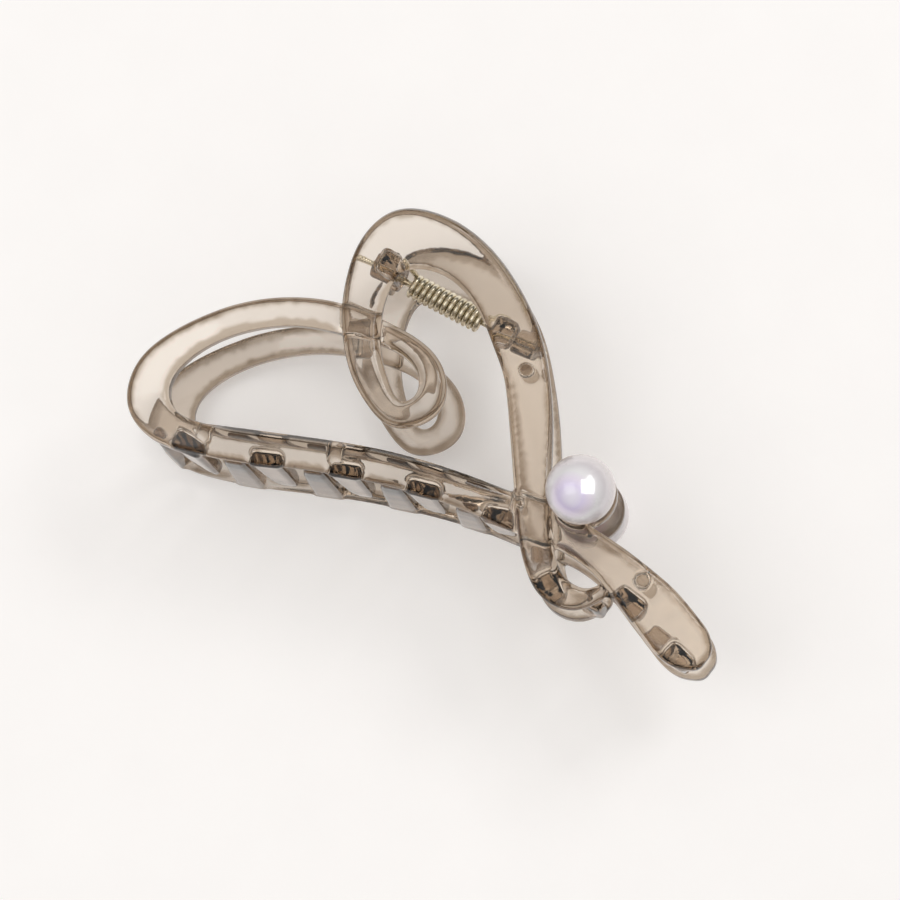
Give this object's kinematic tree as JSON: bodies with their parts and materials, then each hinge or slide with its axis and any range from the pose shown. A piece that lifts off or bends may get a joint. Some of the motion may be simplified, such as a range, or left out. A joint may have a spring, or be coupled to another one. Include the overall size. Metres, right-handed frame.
{
  "type": "hair claw clip",
  "caption": "Large claw clip of clear smoke-taupe plastic: two ribbon jaws drawn as a cursive heart, interlocking teeth, brass pin and torsion spring, a pearl on each jaw.",
  "frame": {"origin": "on the hinge axis, half way between the two jaws and midway along the spring", "axes": "+X along the hinge axis towards the tail, +Y from the teeth to the thumb crest, +Z out of the upper jaw; the clip lies on its lower jaw"},
  "size_m": [0.1112, 0.0586, 0.042],
  "materials": {
    "smoke_plastic": "polished clear plastic, smoke taupe",
    "brass_wire": "bright drawn wire, pale gold",
    "pearl": "pearlescent lavender white, high gloss"
  },
  "bodies": {
    "lower": {"lower_jaw": "smoke_plastic", "hinge_pin": "brass_wire", "torsion_spring": "brass_wire", "lower_pearl": "pearl"},
    "upper": {"upper_jaw": "smoke_plastic", "upper_pearl": "pearl"}
  },
  "joints": [
    {"name": "jaw_hinge", "type": "hinge", "parent": "lower", "child": "upper", "pos_m": [0, 0, 0], "axis": [-1, 0, 0], "range_deg": [0, 60], "stiffness_Nm_per_rad": 0.06, "springref_deg": -57.3, "deforming": ["torsion_spring"]}
  ]
}
